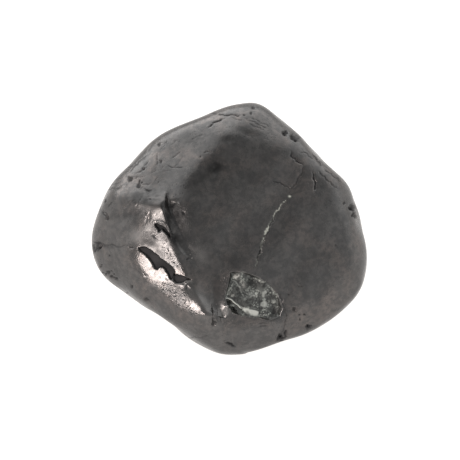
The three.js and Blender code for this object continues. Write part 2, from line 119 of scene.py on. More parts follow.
# Cracks and scratches: half width, depth, how dark (painted shade, with their duller floor), and the
# (u, v) points that each one follows.
CRACKS = [
    # top cap
    (0.17, 0.13, 0.9, [(-3.2, 14.77), (-2.47, 15.42), (-1.89, 15.79), (-0.77, 16.09)]),
    (0.16, 0.1, 0.8, [(-1.89, 16.59), (-0.87, 16.66), (0.15, 16.54), (1.6, 16.44)]),
    (0.2, 0.08, 0.6, [(-3.06, 16.88), (-2.33, 16.97), (-1.75, 16.91)]),
    (0.14, 0.05, 0.4, [(2.11, 16), (3.35, 15.57), (4.36, 15.13), (5.53, 14.7)]),
    (0.14, 0.05, 0.4, [(2.47, 15.42), (3.78, 14.91), (4.95, 14.4)]),
    (0.13, 0.04, 0.4, [(2.91, 16.22), (4.66, 15.5), (6.11, 14.84)]),
    (0.14, 0.05, 0.4, [(0.15, 16.22), (1.02, 15.86), (1.89, 15.64)]),
    # worn hollow
    (0.15, 0.09, 0.7, [(-3.83, 11.28), (-3.2, 11.38), (-2.58, 11.13)]),
    (0.13, 0.08, 0.7, [(-4.25, 10.84), (-4.29, 10.11)]),
    (0.16, 0.05, 0.4, [(-1.67, 7.57), (-1.75, 6.4)]),
    # shoulder
    (0.14, 0.09, 0.7, [(-10.45, 10.99), (-10.45, 9.2)]),
    (0.11, 0.07, 0.6, [(-9.27, 9.41), (-8.58, 9.09), (-7.71, 8.92), (-6.62, 9.02)]),
    (0.13, 0.08, 0.6, [(-11.35, 10.87), (-10.84, 10.91)]),
    (0.13, 0.06, 0.5, [(-10.48, 12.29), (-10.04, 12.51), (-9.46, 12.47), (-8.88, 12.73)]),
    (0.16, 0.08, 0.6, [(-13.58, 8.09), (-12.95, 8.44), (-12.47, 8.79), (-11.93, 9.02)]),
    (0.1, 0.05, 0.5, [(-14.11, 7.42), (-13.24, 7.61), (-12.22, 7.78)]),
    (0.14, 0.07, 0.6, [(-12.8, 6.58), (-12.08, 6.63), (-11.42, 6.66)]),
    (0.2, 0.12, 0.8, [(-12.37, 5.99), (-11.79, 5.79), (-11.13, 5.97)]),
    (0.14, 0.08, 0.7, [(-16.44, 6.04), (-16, 6.33), (-15.57, 6.62)]),
    # left edge and its rim
    (0.14, 0.08, 0.6, [(-17.75, 5.75), (-16.66, 6.07), (-15.74, 6.49)]),
    (0.14, 0.08, 0.7, [(-17.82, 3.2), (-17.17, 3.78), (-16.81, 4.15)]),
    (0.17, 0.08, 0.7, [(-18.33, 2.91), (-17.9, 2.33), (-18.04, 1.6), (-17.46, 1.45)]),
    (0.14, 0.08, 0.7, [(-19.03, 2.62), (-18.84, 3.27), (-18.62, 3.71)]),
    (0.12, 0.06, 0.5, [(-12.08, 11.28), (-11.35, 12.08), (-10.48, 12.8)]),
    (0.12, 0.06, 0.5, [(-14.7, 8.22), (-13.82, 9.31), (-12.95, 10.18)]),
    # left side
    (0.2, 0.12, 1, [(-14.84, -2.27), (-14.26, -2.42), (-13.58, -2.55)]),
    (0.12, 0.06, 0.7, [(-19.93, -1.67), (-18.33, -2.11), (-16.95, -2.18), (-16, -2.4), (-14.84, -2.33)]),
    (0.12, 0.05, 0.5, [(-19.5, -2.62), (-18.33, -2.4), (-17.46, -2.47)]),
    # lobe
    (0.14, 0.07, 0.7, [(-12.59, -6.11), (-12.22, -6.4), (-11.86, -6.65)]),
    (0.24, 0.16, 0.9, [(-6.18, -7.93), (-6.26, -8.66)]),
    (0.13, 0.07, 0.6, [(-11.35, -0.44), (-10.91, -0.87), (-10.55, -1.45)]),
    (0.15, 0.1, 0.7, [(-11.61, 2.62), (-11.76, 1.16)]),
    (0.12, 0.07, 0.5, [(-12.15, 2.04), (-12.29, 0.87)]),
    # bottom slope
    (0.28, 0.2, 1, [(-0.8, -16.05), (0, -16.47), (0.87, -16.86)]),
    # around and below the chip
    (0.12, 0.06, 0.6, [(3.93, -13.94), (5.53, -13.82)]),
    (0.12, 0.06, 0.5, [(4, -13.39), (5.53, -13.43)]),
    (0.12, 0.06, 0.6, [(7.2, -9.02), (7.92, -11.6), (8.06, -12.63), (7.77, -14.11), (7.32, -15.02)]),
    (0.14, 0.08, 0.7, [(7.57, -14.7), (6.91, -15.71), (6.98, -16.3)]),
    (0.11, 0.05, 0.5, [(9.4, -8.03), (10.74, -8.03)]),
    (0.1, 0.03, 0.4, [(-6.55, -15.42), (-4.8, -15.57), (-2.76, -15.13)]),
    # upper right
    (0.26, 0.16, 0.9, [(8.66, 11.35), (8.88, 10.62), (9.6, 10.04), (10.62, 9.31)]),
    (0.3, 0.1, 0.7, [(10.69, 9.31), (10.48, 8.44), (9.89, 7.42), (9.46, 6.69), (8.88, 5.82)]),
    (0.22, 0.1, 0.8, [(5.97, 7.2), (7.27, 6.69), (8.29, 6.26), (8.8, 5.67)]),
    (0.24, 0.2, 1, [(11.97, 8.58), (12.15, 7.64), (12.37, 6.69), (12.4, 6.11), (12.08, 5.46)]),
    # right rim and upper right rim
    (0.2, 0.16, 1, [(11.93, 11.2), (12.8, 10.33), (13.53, 9.24)]),
    (0.14, 0.08, 0.7, [(13.68, 8.88), (14.84, 7.93), (16.15, 6.84)]),
    (0.12, 0.03, 0.3, [(13.68, 4.36), (14.99, 3.93)]),
    (0.13, 0.07, 0.6, [(15.13, -2.04), (15.5, -2.55)]),
    (0.14, 0.07, 0.6, [(9.89, 11.35), (11.06, 11.06), (12.22, 10.18)]),
    (0.14, 0.06, 0.5, [(12.66, 8.73), (13.97, 7.27), (15.57, 5.82)]),
    # painted shadow beside the vein, and painted shade along the chip's right edge
    (0.17, 0.08, 0.9, [(6.55, 1.89), (6.04, 1.16), (5.57, -0.15), (5.24, -1.16)]),
    (0.3, 0.1, 1, [(4.87, -1.45), (4.51, -2.47), (4.15, -3.49), (3.93, -4.66)]),
    (0.16, 0.05, 0.4, [(6.69, -8.88), (7.49, -9.89), (7.78, -11.06), (7.57, -12.08)]),
]
CRACK_TAPER = 0.5       # length over which a groove narrows at each end
CRACK_END = 0.35        # share of its width and depth that is left at the very ends

# Fine scratches of the upper left side: how many, seed, the line they lie along and how far from
# it, mean heading and its spread in degrees, bend as a share of the length, how dark, and ranges
# (least, and how much more the most has).
SCRATCH_COUNT, SCRATCH_SEED = 60, 71
SCRATCH_FROM, SCRATCH_TO, SCRATCH_BAND = (-18.33, 3.64), (-4.36, 14.84), 3
SCRATCH_TURN, SCRATCH_SPREAD, SCRATCH_BEND, SCRATCH_DARK = 32, 50, 0.25, 0.45
SCRATCH_LENGTH, SCRATCH_HALF_WIDTH, SCRATCH_DEPTH = (0.4, 2.0), (0.09, 0.05), (0.02, 0.05)

# The healed crack, filled with a paler mineral: depth, edge, (u, v, half width) points, and a
# crystal beside it: radius, how pale, centre.
VEIN_DEPTH = 0.05
VEIN_EDGE = 1.3         # how quickly it turns whole, from its edge inwards
VEIN_REACH = 0.4        # beyond its widest part
VEIN = [(8, 4.37, 0.06), (7.13, 3.2, 0.11), (6.55, 2.47, 0.13), (6.04, 1.31, 0.11), (5.38, 0.15, 0.2),
    (5.09, -0.58, 0.24), (4.8, -1.31, 0.14), (4.44, -2.69, 0.18), (4.22, -3.42, 0.17), (3.93, -4.22, 0.1),
    (3.64, -5.09, 0.1)]
CRYSTAL = (0.19, 1.5, (8.6, 4.88))

# Small pits: radius, depth, and centre.
PITS = [
    # shoulder
    (0.22, 0.12, (-9.89, 9.75)), (0.26, 0.07, (-10.3, 12.27)), (0.34, 0.18, (-14.48, 7.35)),
    (0.3, 0.12, (-13.17, 6.5)),
    # left edge
    (0.2, 0.1, (-18.04, 4.26)), (0.3, 0.12, (-17.68, 1.69)), (0.2, 0.1, (-12.41, 8.73)),
    # lobe
    (0.15, 0.06, (-11.49, 4.47)), (0.24, 0.14, (-14.32, -8.26)), (0.18, 0.1, (-15.07, -9.22)),
    (0.34, 0.12, (-12.05, -10)),
    # left side and its rim
    (0.3, 0.14, (-17.69, -6.23)), (0.22, 0.12, (-16.65, -7.13)), (0.16, 0.09, (-17.82, -7.62)),
    (0.2, 0.12, (-18.77, -5.24)), (0.16, 0.09, (-18.48, -5.06)), (0.16, 0.08, (-17.39, -3.78)),
    (0.36, 0.16, (-19.24, -1.92)), (0.26, 0.12, (-19.7, -3.03)), (0.2, 0.08, (-18.48, -2.33)),
    # channel
    (0.17, 0.1, (-6.62, 2.52)), (0.22, 0.12, (-5.97, -4.07)),
    # lower right
    (0.36, 0.18, (9.17, -11.35)), (0.15, 0.08, (10, -12.19)), (0.15, 0.08, (10.62, -12.15)),
    (0.16, 0.08, (10.11, -12.8)), (0.16, 0.07, (8.51, -9.37)), (0.15, 0.07, (15.2, -2.27)),
    # top
    (0.26, 0.16, (3.32, 17.71)), (0.2, 0.1, (3.03, 16.69)), (0.14, 0.07, (2.04, 16.51)),
    # right side and face
    (0.24, 0.14, (16.69, 3.86)), (0.16, 0.07, (6.11, 1.24)), (0.15, 0.07, (4.29, -2.47)),
    # upper right rim
    (0.42, 0.24, (8, 14.04)), (0.46, 0.26, (9.6, 13.17)), (0.36, 0.2, (8.95, 13.53)),
    # right rim
    (0.52, 0.28, (17.75, 3.35)), (0.34, 0.22, (18.41, 3.49)), (0.3, 0.16, (18.19, 2.33)),
    # lower rim
    (0.46, 0.26, (7.27, -15.57)), (0.34, 0.2, (8, -14.84)), (0.34, 0.2, (11.2, -14.11)),
]
PIT_STEEPNESS = 4       # of a pit's sides
PIT_REACH = 1.6         # where it has faded to nothing, in radii
# painted shade in each pit, with its duller floor
PIT_DARK = 0.8
# Groups of pits where the edges are worn: u, v, half width, half height, turn, how many, seed.
PIT_GROUPS = [
    # left edge and left side
    (-19.35, -2.33, 0.65, 0.75, 0, 13, 5), (-17.61, -6.26, 1, 0.9, -35, 10, 11),
    # upper right rim
    (8.08, 14.04, 0.3, 0.38, -35, 7, 17), (9.38, 13.24, 0.5, 0.3, -38, 10, 29),
    # right rim
    (17.82, 3.35, 0.75, 0.42, -20, 13, 31), (18.04, 2.18, 0.38, 0.5, 20, 8, 37),
    # lower rim
    (7.57, -15.71, 0.75, 0.5, 55, 15, 43), (11.28, -14.07, 0.6, 0.32, 35, 9, 47),
    # left rim and shoulder
    (-18.11, 2.33, 0.3, 0.55, 10, 7, 53), (-13.24, 6.77, 0.9, 0.45, 0, 6, 59),
    # below the channel
    (-2.4, -13.39, 0.2, 0.8, 0, 6, 61),
]
# Ranges of their pits: radius, and depth as a share of the radius.
GROUP_RADIUS, GROUP_DEPTH = (0.08, 0.17), (0.4, 0.4)
# Powers of the numbers drawn for how far out each one lies and for its radius.
GROUP_OUT, GROUP_SMALLER = 0.6, 1.5

# Sharp-edged openings, painted dark inside with shade: depth, width of the sloping edge, and (u, v)
# outline.
RECESSES = {
    "fissure": (0.34, 0.2, [(-13.31, -2.44), (-12.51, -2.36), (-11.93, -2.4), (-11.35, -2.78),
        (-10.77, -3.22), (-10.26, -3.65), (-9.89, -4.09), (-9.31, -4.53), (-8.8, -4.96), (-8.29, -5.41),
        (-8, -5.97), (-8, -6.62), (-8.51, -7.35), (-8.9, -6.98), (-9.17, -6.33), (-9.46, -5.85),
        (-9.78, -5.47), (-10.11, -5.44), (-10.48, -5.81), (-10.88, -5.65), (-11.15, -5.17), (-11.23, -4.8),
        (-11.57, -4.41), (-11.84, -4.03), (-12.22, -3.64), (-12.66, -3.29), (-13.12, -3)]),
    "fissure foot": (0.32, 0.2, [(-8.37, -6.31), (-7.86, -6.34), (-7.06, -6.58), (-6.4, -6.84),
        (-5.53, -7.16), (-5.78, -7.36), (-6.4, -7.39), (-7.06, -7.71), (-7.86, -7.8), (-8.32, -7.42)]),
    "arched notch": (0.38, 0.2, [(-11.09, 0.9), (-10.62, 0.97), (-9.97, 0.73), (-9.24, 0.22),
        (-8.61, -0.65), (-8.51, -1.38), (-8.95, -1.02), (-9.38, -0.51), (-9.89, -0.03), (-10.11, -0.36),
        (-10.45, -0.41), (-10.55, 0.07), (-10.91, 0.44)]),
}
# Raised lips beside them, with painted sheen on them: half width, height and path.
LIPS = {
    "notch lip": (0.14, 0.1, [(-11.2, 1.09), (-10.48, 1.21), (-9.68, 1.05), (-9.02, 0.58),
        (-8.54, -0.15)]),
    "foot lip": (0.12, 0.08, [(-7.49, -7.97), (-6.77, -8), (-6.18, -7.65), (-5.6, -7.36)]),
    "foot crystal": (0.14, 0.12, [(-8, -6.81), (-7.64, -6.69)]),
    "channel lip": (0.12, 0.07, [(-8.29, 4.22), (-7.57, 3.99), (-7.13, 3.58)]),
}

# Soft ovals: u, v, half width, half length, turn, and then the depth of a dent or the strength of a
# dark patch (dull worn stains, and painted shade) or of a painted sheen patch.
DENTS = {
    "worn hollow": (-2.18, 9.17, 1.9, 1.3, 35, 0.34),
    "worn hollow tail": (-4.51, 6.98, 2.6, 1, 38, 0.14),
    "small hollow": (-0.22, 13.02, 1.1, 0.5, 0, 0.14),
    "cap hollow": (2.76, 13.9, 1.5, 0.6, -15, 0.1),
    "dimple on the flank": (-6.26, -2.62, 0.8, 0.5, -30, 0.08),
    "valley above the lobe": (-14.84, 2.18, 3.2, 1, 20, 0.1),
    "scoop of the flank": (-4.51, -8.95, 2.3, 1.25, -45, 0.4),
    "toe": (-3.06, -12.15, 1.5, 0.6, 0, -0.34),
}
# Dark patches: dull worn hollows and cap, dark pitted rims, and painted shade in the valley, the channel,
# the chip and on the lower left rim.
STAINS_AND_SHADE = [
    # worn hollow and small hollow
    (-1.89, 9.02, 2, 1.6, 40, 1), (-4.36, 7.27, 2.6, 1.1, 40, 0.6), (0, 12.95, 1.6, 0.8, -10, 0.8),
    # cap
    (2.76, 13.97, 1.7, 0.8, -15, 0.55),
    # painted shade in the valley above the lobe
    (-12.37, 4.95, 3.4, 1.3, 5, 0.85),
    # painted shade in the channel beside the lobe, from its head down
    (-8.8, 1.6, 1, 2.2, 0, 1), (-7.9, -1.4, 1.8, 1.1, -45, 1), (-10.2, 3.4, 2.2, 0.5, 10, 0.8),
    (-8.2, 3.3, 1.9, 1, 0, 1), (-7.5, 2.4, 1.7, 1.5, 0, 1), (-7.3, 1.2, 1.25, 1.7, 15, 0.85),
    (-8.5, -1.45, 0.9, 0.4, -60, 0.9),
    # painted shade that dims the highlight on the strip right of the fissure
    (-11.6, -1.9, 1.6, 0.8, -28, 0.7), (-10.2, -3.2, 1.2, 0.5, -48, 0.5),
    # painted shade in the channel low down, above the chip
    (-1.9, -9, 0.75, 2.6, 0, 0.5), (0.44, -4.66, 2, 1, 0, 0.15),
    # left of the lobe: painted shade on the lobe, dark marks by the left rim
    (-16.44, 2.04, 1.2, 0.8, 0, 0.3), (-12.22, -1.89, 1.5, 0.9, -25, 0.45), (-19.35, -2.47, 1, 1, 0, 0.4),
    (-17.46, -2.33, 2, 0.3, 0, 0.3),
    # right rim
    (17.75, 3.06, 0.9, 0.7, 0, 0.4),
    # painted shade in the chip, and the dark pitted lower rim
    (3.2, -7.71, 1, 0.7, 0, 0.5), (7.4, -15.6, 0.9, 0.6, 45, 0.5),
    # painted shade that dims the floor's reflection on the lower left rim
    (-16, -8.73, 3.2, 0.6, -41, 0.6), (-9.31, -13.39, 3.4, 0.6, -36, 0.55),
]
# Painted sheen: brighter patches where the lobe, the channel and the chip's corner catch the light.
PAINTED_SHEEN_PATCHES = [
    # painted highlights on the lobe
    (-13.39, -0.87, 1, 1.2, 0, 0.9), (-11.93, -2.33, 1.2, 0.6, -30, 0.35), (-10.55, 2.25, 0.8, 0.9, 0, 1),
    (-11.85, 0.15, 0.6, 0.5, 0, 1),
    # painted sheen in the channel, on the flank and at the chip's corner
    (-4.2, -3.7, 0.9, 1.3, 15, 0.55), (-4.2, -10, 1.6, 2.4, 20, 0.45), (-0.95, -11.64, 0.7, 0.7, 0, 0.9),
]
OVAL_REACH = 2.5        # where an oval has faded to nothing, in half lengths
# Where the polish is grainy.
GRAINY = {
    "below the fissure": [(-10.48, -7.13), (-8.44, -7.57), (-7.27, -8.15), (-5.82, -9.17), (-5.53, -10.77),
        (-3.64, -11.79), (-2.76, -12.51), (-5.82, -12.51), (-7.57, -11.42), (-9.31, -9.89), (-11.2, -8)],
    "right of the fissure": [(-9.89, -1.89), (-8.58, -2.62), (-6.84, -5.24), (-5.97, -6.84),
        (-7.27, -6.55), (-8.58, -4.8), (-10.18, -3.2)],
}
GRAINY_EDGE = 0.5

# The chip: outline, depth at its middle, how its floor falls towards u and v, width of its edge.
CHIP_OUTLINE = [(-0.1, -5.97), (1.8, -5.82), (4.06, -6.65), (5.63, -7.48), (7.13, -9.31), (7.62, -11.31),
    (7.27, -12.51), (5.81, -13.3), (4.13, -12.95), (1.8, -12.73), (0.29, -12.15), (-0.52, -10.77),
    (-0.8, -9.6), (-0.58, -8.58), (-0.22, -7.27)]
CHIP_DEPTH = 0.26
CHIP_SLOPE = (0.05, 0)
CHIP_EDGE = 0.5
# painted shade in its slot and pocket, and on its dark parts
CHIP_HOLES_DARK = 0.8
# Faces of its floor: how many, how steep, how much of their height is kept, and the seed.
CHIP_FACES = [(26, 0.26, 0.7, 7), (260, 0.7, 0.5, 23)]
# The small flat face left of it that catches the light: outline, slopes along u and v, depth.
GLINT = ([(-1.67, -11.35), (-1.16, -10.98), (-0.15, -10.69), (-0.22, -12.22), (-0.73, -12.73),
    (-1.67, -12.51)], (0.4, 0.1), 0.12)
GLINT_EDGE = 0.1
# painted sheen on the glint face
GLINT_SHEEN = 0.8
# The wall across its left end, the pocket below the wall and the slot beside that.
CHIP_RIDGE = (0.24, 0.24, [(-0.8, -9.68), (0.1, -10.04), (1.25, -11), (1.89, -11.64)])
CHIP_POCKET = (-0.25, -10.62, 0.5, 0.38, -20, 0.34)
CHIP_SLOT = (0.3, 0.26, [(0.22, -11.13), (0.73, -11.79), (1.38, -12.44)])
# Pale mineral of the break, and its glints painted in as pale patches: how pale, and outline.
PALE_PATCHES = [
    (0.75, [(1.38, -10.84), (1.96, -11.2), (3.49, -11.64), (4.36, -11.93), (4.36, -12.77), (2.55, -12.47),
        (1.96, -11.86)]),
    (0.45, [(4.51, -10.62), (5.09, -10.3), (5.67, -10.62), (5.6, -11.35), (4.95, -11.54), (4.44, -11.06)]),
    (0.35, [(4.58, -8.88), (5.24, -8.66), (5.53, -9.02), (5.17, -9.46), (5.09, -10.04), (4.66, -9.75)]),
    (0.3, [(6.04, -10.18), (6.69, -10.04), (6.87, -10.69), (6.26, -10.94)]),
    (0.45, [(-0.9, -9.68), (-0.54, -7.42), (-0.12, -7.57), (-0.07, -8.73), (-0.29, -9.75),
        (-0.65, -10.04)]),
    (0.35, [(-0.17, -5.94), (0.36, -6.05), (1.28, -6.69), (1.13, -7.2), (0.44, -6.91)]),
    (0.18, [(2.18, -9.17), (3.2, -8.88), (4.07, -9.31), (3.78, -9.75), (2.76, -9.6)]),
]
PALE_EDGE = 0.18
# Pale ridges and rims of it, partly mineral and partly painted highlight on their crests: half width,
# how pale, and path.
PALE_LINES = [
    (0.17, 0.9, [(-0.87, -9.7), (0.1, -10.04), (0.73, -10.55), (1.25, -11), (1.89, -11.64)]),
    (0.16, 0.6, [(1.57, -6.02), (2.33, -5.97), (3.2, -6.33), (4.02, -6.81)]),
    (0.14, 0.45, [(0.15, -7.13), (0.87, -7.49), (1.45, -8.29), (1.75, -9.17)]),
    (0.17, 0.28, [(5.31, -7.78), (5.97, -8.37), (6.55, -9.17)]),
    (0.16, 0.32, [(2.76, -10.04), (3.2, -9.53), (4, -9.53), (4.22, -10.04)]),
    (0.13, 0.55, [(0.07, -11.49), (0.44, -12.08), (1.09, -12.66)]),
]
# Dark parts of it, its own dark tone and painted shade on its walls: soft ovals, and how dark.
DARK_PATCHES = [
    (3.3, -7.7, 1.15, 0.85, 0, 0.9), (6.11, -9.68, 0.75, 0.6, 30, 0.7), (6.9, -12.1, 1, 0.9, 0, 0.75),
    (0.87, -8.73, 0.7, 0.9, 0, 0.35), (2.47, -10.62, 0.65, 0.45, 0, 0.6), (0.6, -6.3, 0.5, 0.45, 0, 0.85),
]

# Small wanderings of cracks and edges: wave along u and v, shift, and how far it moves them.
WANDERINGS = [
    ((4.1, 2.3), 0.4, (0.045, -0.055)),
    ((-2.7, 5.2), 1.9, (0.055, 0.045)),
    ((9.5, -6.1), 3.1, (0.025, 0.03)),
    ((5.3, 11.7), 5.2, (-0.03, 0.025)),
    ((-21, 14), 2.2, (0.012, 0.014)),
]
EDGE_WANDER = 0.35      # share of the wanderings that outlines and scratches take

# Broad hollows of the sides and the back: around, lean, radius, depth.
HOLLOWS = [
    # back
    (150, 150, 3.2, 0.4), (20, 135, 2.6, 0.35),
    # top, left, right and bottom sides
    (100, 112, 2, 0.3), (200, 118, 2.2, 0.3), (-25, 112, 1.8, 0.3), (300, 112, 1.5, 0.25),
]
# Seeded pits and cracks there: how many and seed, the range of leans that they lie in, and ranges
# of their measures. A crack goes by steps, as seen from the inner point, and strays at each.
BACK_LEAN = (88, 90)
BACK_PIT_COUNT, BACK_PIT_SEED = 90, 41
BACK_PIT_RADIUS, BACK_PIT_DEPTH = (0.12, 0.4), (0.05, 0.2)
BACK_CRACK_COUNT, BACK_CRACK_SEED = 14, 97
BACK_CRACK_HALF_WIDTH, BACK_CRACK_DEPTH = (0.10, 0.08), (0.05, 0.08)
BACK_CRACK_STEPS, BACK_CRACK_STEP, BACK_CRACK_STRAY = (5, 8), 0.045, 0.9
FLAT_CLEARANCE = 35       # degrees that seeded wear keeps from the middle of the resting flat
FLAT_BLEND = 0.8          # height over which the detail fades out towards the resting flat

# Edge lengths of the mesh: on a feature, elsewhere on the face, and on the back.
FINE_EDGE = 0.145
FACE_EDGE = 0.39
BACK_EDGE = 0.66
EDGE_GROWTH = 0.62
REFINE_ROUNDS = 6
START_SUBDIVISIONS = 6

UNIT = 0.001              # millimetres to Blender's metres


def direction(around, lean):
    """Unit vector that lies "around" in the face and leans away from the line out of it."""
    around, lean = math.radians(around), math.radians(lean)
    return np.array([math.sin(lean) * math.cos(around), math.sin(lean) * math.sin(around), math.cos(lean)])


DOWN = direction(270, 90 + FACE_TILT)


def smooth_step(value):
    t = np.clip(value, 0, 1)
    return t * t * (3 - 2 * t)


def unit(vectors):
    return vectors / np.linalg.norm(vectors, axis=1, keepdims=True)


# ---- plain form ----

def planes_of(facets):
    return np.array([direction(around, lean) / away for around, lean, away in facets])


MAIN_PLANES = planes_of(MAIN_FACETS)
LOBE_PLANES = planes_of(LOBE_FACETS)
GIRTH_PLANES = planes_of(GIRTH_FACETS)


def facet_sum(rays, planes, sharpness):
    return (np.maximum(0, rays @ planes.T) ** sharpness).sum(axis=1)


def form_radius(rays):
    """Distance along each ray to the plain form: the main body joined to the lobe, cut flat below."""
    girth = facet_sum(rays, GIRTH_PLANES, GIRTH_SHARPNESS)

    def reach(planes, sharpness):
        front = facet_sum(rays, planes, sharpness) ** (GIRTH_SHARPNESS / sharpness)
        return (front + girth) ** (-1 / GIRTH_SHARPNESS)

    main = reach(MAIN_PLANES, FACE_SHARPNESS)
    lobe = reach(LOBE_PLANES, LOBE_SHARPNESS)
    joined = (main ** VALLEY_SHARPNESS + lobe ** VALLEY_SHARPNESS) ** (1 / VALLEY_SHARPNESS)
    towards_ground = rays @ DOWN
    above = 0.1         # a ray that points less far down never meets the flat
    cut = np.where(towards_ground > above, BASE_HEIGHT / np.maximum(towards_ground, above), np.inf)
    return np.minimum(joined, cut)


def form_points(rays):
    rays = unit(rays)
    return rays * form_radius(rays)[:, None]


def form_normals(rays):
    step = 0.001
    helper = np.where(np.abs(rays[:, 2:]) < 0.9, [[0.0, 0.0, 1.0]], [[0.0, 1.0, 0.0]])
    first = unit(np.cross(helper, rays)) * step
    second = unit(np.cross(rays, first)) * step
    along = form_points(rays + first) - form_points(rays - first)
    across = form_points(rays + second) - form_points(rays - second)
    return unit(np.cross(along, across))


# ---- shares: how much of a feature each place has, from 0 to 1 ----

def boxed(places, around, margin=0):
    """Which places lie in the box around some points, widened by a margin."""
    around = np.atleast_2d(around)
    low, high = around.min(axis=0) - margin, around.max(axis=0) + margin
    return np.flatnonzero(((places >= low) & (places <= high)).all(axis=1))


def nearest_on_path(places, path):
    """Distance to a path, side (+1 on its left), what is written along it and how far its ends are."""
    path = np.array(path, float)
    size = places.shape[1]
    lengths = np.linalg.norm(np.diff(path[:, :size], axis=0), axis=1)
    starts = np.concatenate([[0], np.cumsum(lengths)])
    distance = np.full(len(places), np.inf)
    side = np.ones(len(places))
    written = np.zeros((len(places), path.shape[1] - size))
    to_end = np.zeros(len(places))
    for start, end, length, so_far in zip(path[:-1], path[1:], lengths, starts):
        heading = (end[:size] - start[:size]) / length
        offset = places - start[:size]
        run = np.clip(offset @ heading, 0, length)
        off = offset - run[:, None] * heading
        apart = np.linalg.norm(off, axis=1)
        nearer = apart < distance
        distance = np.where(nearer, apart, distance)
        side = np.where(nearer, np.sign(heading[0] * off[:, 1] - heading[1] * off[:, 0]), side)
        along = start[size:] + (run / length)[:, None] * (end[size:] - start[size:])
        written = np.where(nearer[:, None], along, written)
        to_end = np.where(nearer, np.minimum(so_far + run, starts[-1] - so_far - run), to_end)
    return distance, side, written, to_end


def inside(uv, outline):
    """True for the points inside an outline."""
    result = np.zeros(len(uv), bool)
    for (u0, v0), (u1, v1) in zip(outline, outline[1:] + outline[:1]):
        if v0 == v1:
            continue
        crosses = (v0 > uv[:, 1]) != (v1 > uv[:, 1])
        result ^= crosses & (uv[:, 0] < u0 + (uv[:, 1] - v0) * (u1 - u0) / (v1 - v0))
    return result


def depth_inside(uv, outline):
    """Distance to an outline's edge: positive inside it, negative outside."""
    distance = nearest_on_path(uv, outline + outline[:1])[0]
    return np.where(inside(uv, outline), distance, -distance)


def opening(uv, outline, edge):
    """None outside an outline, all of it past a sloping edge inside it."""
    share = np.zeros(len(uv))
    near = boxed(uv, outline)
    share[near] = smooth_step(depth_inside(uv[near], outline) / edge)
    return share


def groove(places, half_width, path):
    """A rounded line along a path that narrows and fades towards its ends."""
    share = np.zeros(len(places))
    near = boxed(places, path, half_width)
    distance, _, _, to_end = nearest_on_path(places[near], path)
    kept = CRACK_END + (1 - CRACK_END) * smooth_step(to_end / CRACK_TAPER)
    share[near] = kept * smooth_step(1 - distance / (half_width * kept))
    return share


def turned(offset, turn):
    cos, sin = math.cos(math.radians(turn)), math.sin(math.radians(turn))
    return offset @ np.array([[cos, -sin], [sin, cos]])


def oval(uv, centre_u, centre_v, wide, long, turn):
    """A soft-edged oval: 1 in its middle, fading to nothing."""
    share = np.zeros(len(uv))
    centre = (centre_u, centre_v)
    near = boxed(uv, centre, OVAL_REACH * max(wide, long))
    away = turned(uv[near] - centre, turn) / [wide, long]
    share[near] = np.exp(-(away ** 2).sum(axis=1))
    return share


def dig(places, height, dark, grooves, pits):
    """Sinks grooves and pits into the height, and paints shade into them, with their duller floor."""
    for half_width, depth, darker, path in grooves:
        sunk = groove(places, half_width, path)
        height -= depth * sunk
        np.maximum(dark, darker * sunk, out=dark)
    for radius, depth, centre in pits:
        near = boxed(places, centre, PIT_REACH * radius)
        away = np.linalg.norm(places[near] - centre, axis=1) / radius
        sunk = np.exp(-away ** PIT_STEEPNESS)
        height[near] -= depth * sunk
        dark[near] = np.maximum(dark[near], PIT_DARK * sunk)


def wander(uv, share=1.0):
    """Moves the places that cracks and edges are read at, so that none of them is ruled."""
    return uv + share * sum(np.sin(uv @ np.array(wave) + shift)[:, None] * np.array(moved)
                            for wave, shift, moved in WANDERINGS)


# ---- seeded pits, scratches and cracks ----

def number_stream(seed):
    """Evenly spread numbers from 0 to 1, the same ones each time for one seed."""
    multiplier, modulus = 48271, 2147483647
    state = seed
    while True:
        state = state * multiplier % modulus
        yield state / modulus


def within(span, share):
    """The value at a share of a range. A squared share makes small values the most common."""
    least, more = span
    return least + more * share


def make_pits():
    """Every pit of the face: radius, depth and centre."""
    pits = list(PITS)
    for u, v, wide, long, turn, count, seed in PIT_GROUPS:
        numbers = number_stream(seed)
        next(numbers)
        for _ in range(count):
            around, out = 2 * math.pi * next(numbers), next(numbers) ** GROUP_OUT
            place = turned(np.array([wide * out * math.cos(around), long * out * math.sin(around)]), -turn)
            radius = within(GROUP_RADIUS, next(numbers) ** GROUP_SMALLER)
            pits.append((radius, radius * within(GROUP_DEPTH, next(numbers)), tuple(place + (u, v))))
    return pits


def make_scratches():
    """Short shallow scratches strewn along the upper left side: half width, depth, how dark, path."""
    numbers = number_stream(SCRATCH_SEED)
    next(numbers)
    low, high = np.array(SCRATCH_FROM), np.array(SCRATCH_TO)
    heading = (high - low) / np.linalg.norm(high - low)
    across = np.array([-heading[1], heading[0]])
    scratches = []
    for _ in range(SCRATCH_COUNT):
        middle = low + (high - low) * next(numbers) + across * SCRATCH_BAND * (2 * next(numbers) - 1)
        length = within(SCRATCH_LENGTH, next(numbers) ** 2)
        turn = math.radians(SCRATCH_TURN + SCRATCH_SPREAD * (next(numbers) - 0.5))
        half = 0.5 * length * np.array([math.cos(turn), math.sin(turn)])
        bend = across * SCRATCH_BEND * length * (next(numbers) - 0.5)
        path = [tuple(middle - half), tuple(middle + bend), tuple(middle + half)]
        half_width = within(SCRATCH_HALF_WIDTH, next(numbers))
        scratches.append((half_width, within(SCRATCH_DEPTH, next(numbers) ** 2), SCRATCH_DARK, path))
    return scratches


def seeded_directions(numbers, count):
    """Directions on the sides and the back that keep off the resting flat."""
    found = []
    while len(found) < count:
        ray = direction(360 * next(numbers), within(BACK_LEAN, next(numbers)))
        if ray @ DOWN < math.cos(math.radians(FLAT_CLEARANCE)):
            found.append(ray)
    return found


